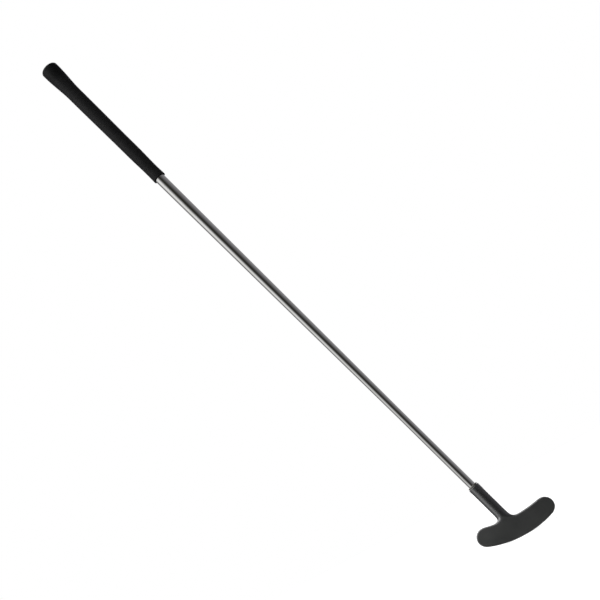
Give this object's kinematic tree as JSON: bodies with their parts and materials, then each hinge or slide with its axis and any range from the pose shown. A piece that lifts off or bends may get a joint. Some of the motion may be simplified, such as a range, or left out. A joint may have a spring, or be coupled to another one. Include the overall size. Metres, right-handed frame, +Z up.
{
  "type": "two-way putter",
  "caption": "Golf putter for either hand: a crescent blade cast with its hosel on a slim tapered steel shaft, with a plain round rubber grip.",
  "frame": {"origin": "middle of the sole, where the blade stands on the ground", "axes": "+Z up, +X towards the toe, -Y and +Y out of the two strike faces; the shaft leans towards -X"},
  "size_m": [0.3225, 0.0252, 0.853],
  "materials": {
    "head_paint": "fine satin black coating on cast metal",
    "adhesive": "cured grey adhesive, wiped smooth",
    "shaft_chrome": "bright plating on a drawn steel tube",
    "tape_paper": "crepe paper with adhesive on both sides",
    "grip_rubber": "matt black, finely mottled below the plain butt end",
    "cap_rubber": "plain black, slightly smoother than the sleeve"
  },
  "bodies": {
    "root": {"putter_head": "head_paint", "hosel_adhesive": "adhesive", "steel_shaft": "shaft_chrome", "grip_tape": "tape_paper", "grip_sleeve": "grip_rubber", "grip_cap": "cap_rubber"}
  },
  "joints": []
}
